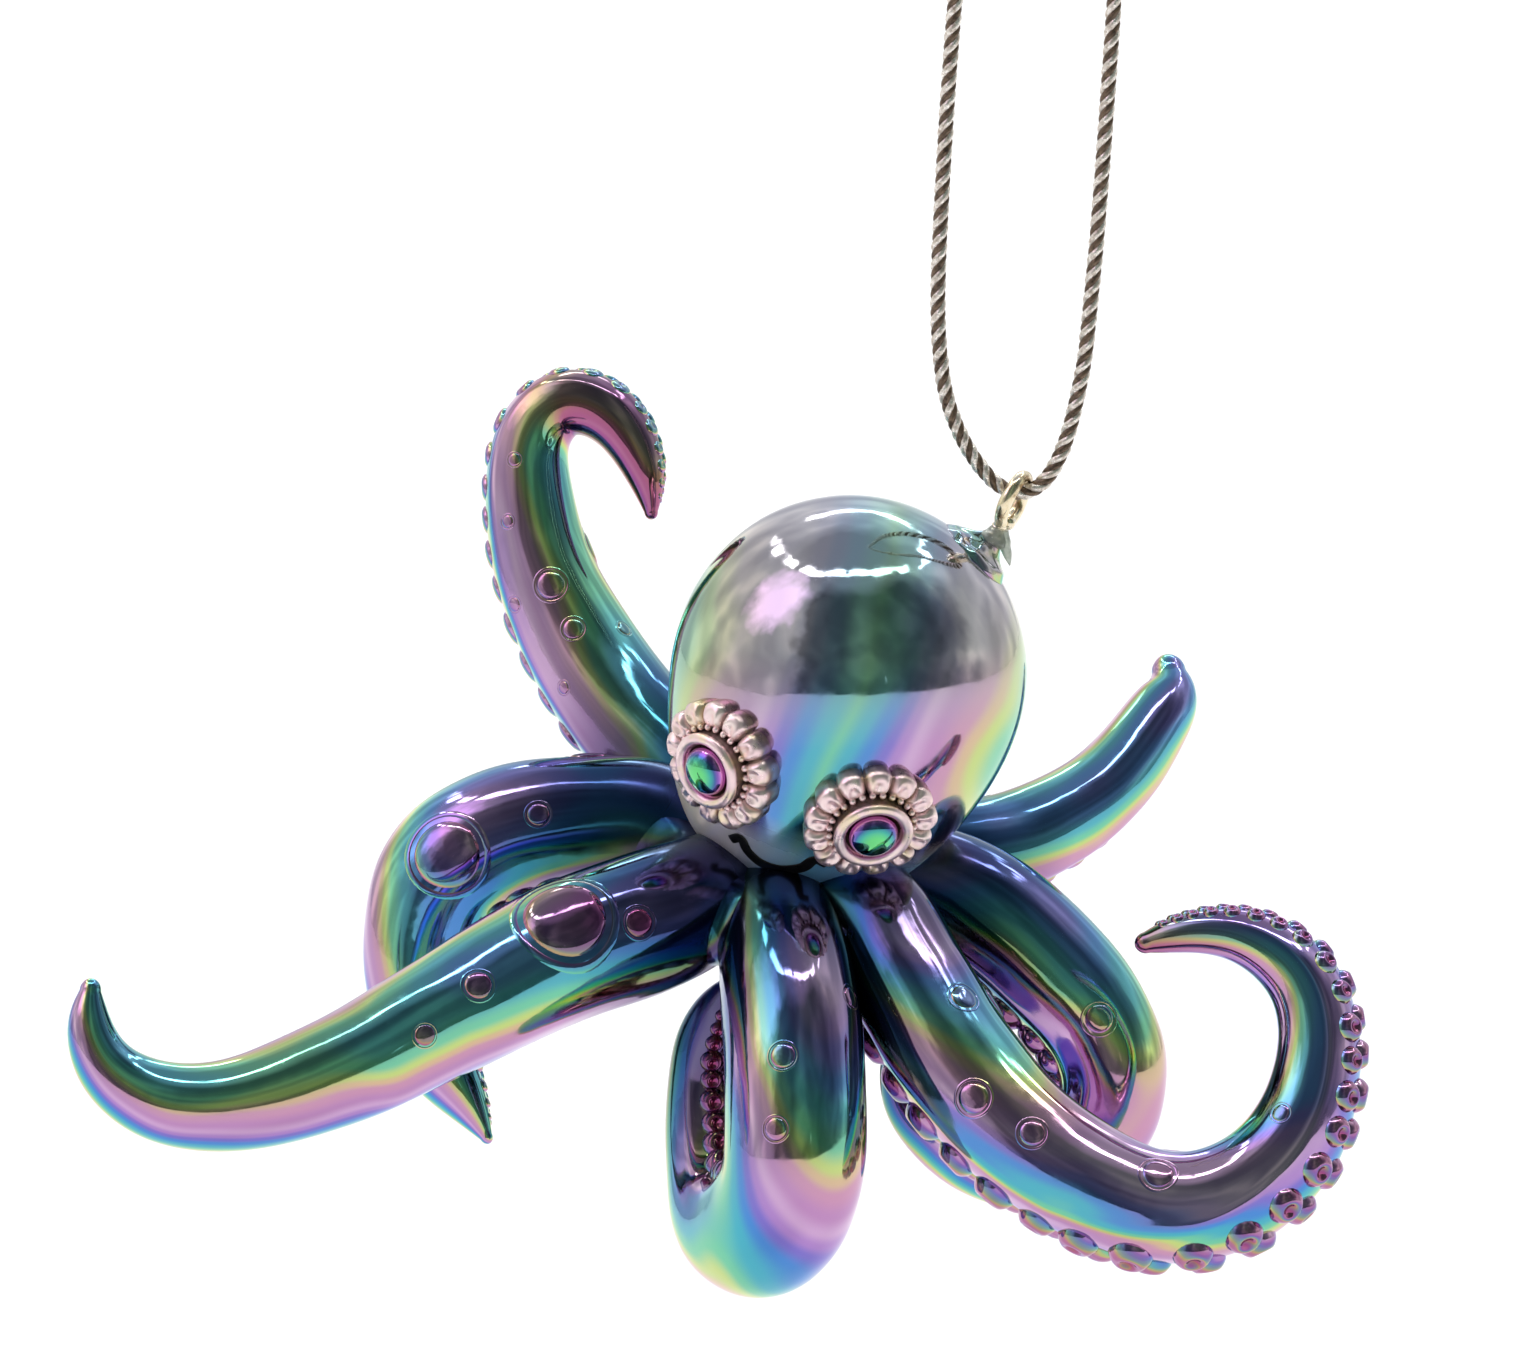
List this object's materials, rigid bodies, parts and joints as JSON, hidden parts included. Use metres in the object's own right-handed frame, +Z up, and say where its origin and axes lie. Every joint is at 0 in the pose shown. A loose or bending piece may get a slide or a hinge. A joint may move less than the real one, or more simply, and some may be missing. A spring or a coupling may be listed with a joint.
{
  "type": "octopus hanging ornament",
  "caption": "Plated iridescent octopus ornament with flower-set eyes and curling arms, hung by a screw eye from a loop of metallic cord.",
  "frame": {"origin": "the hang point, on the inside top of the cord loop", "axes": "+Z up along the hanging cord, +X to the right and +Y away, as seen by someone facing the octopus"},
  "size_m": [0.0904, 0.054, 0.1004],
  "materials": {
    "plated_resin": "mirror-gloss oil-slick plating, pink, teal, green and violet",
    "silvered_setting": "pale pinkish silver plating with dark wash in the creases",
    "stone": "polished dark green dome with a violet rim",
    "gold_wire": "bright pale gold wire",
    "metallic_cord": "tightly twisted champagne and dark brown metallic thread"
  },
  "bodies": {
    "hanger": {"cord_upper_left": "metallic_cord", "cord_upper_right": "metallic_cord", "cord_knot": "metallic_cord"},
    "lower_loop": {"cord_lower": "metallic_cord"},
    "octopus": {"head": "plated_resin", "web_collar": "plated_resin", "arm_front_left": "plated_resin", "arm_left": "plated_resin", "arm_back_left": "plated_resin", "arm_front": "plated_resin", "arm_front_right": "plated_resin", "arm_right": "plated_resin", "arm_back_right": "plated_resin", "arm_back": "plated_resin", "eye_bezel_left": "silvered_setting", "eye_bezel_right": "silvered_setting", "eye_cup_left": "silvered_setting", "eye_cup_right": "silvered_setting", "eye_gem_left": "stone", "eye_gem_right": "stone", "hook_boss": "plated_resin", "screw_eye": "gold_wire"}
  },
  "joints": [
    {"name": "cord_twist", "type": "hinge", "parent": "hanger", "child": "lower_loop", "pos_m": [0, 0, -0.028], "axis": [0, 0, 1], "range_deg": [-180, 180], "stiffness_Nm_per_rad": 0.0005},
    {"name": "eye_swing", "type": "hinge", "parent": "lower_loop", "child": "octopus", "pos_m": [0, 0, -0.044], "axis": [1, 0, 0], "range_deg": [-90, 90]}
  ]
}
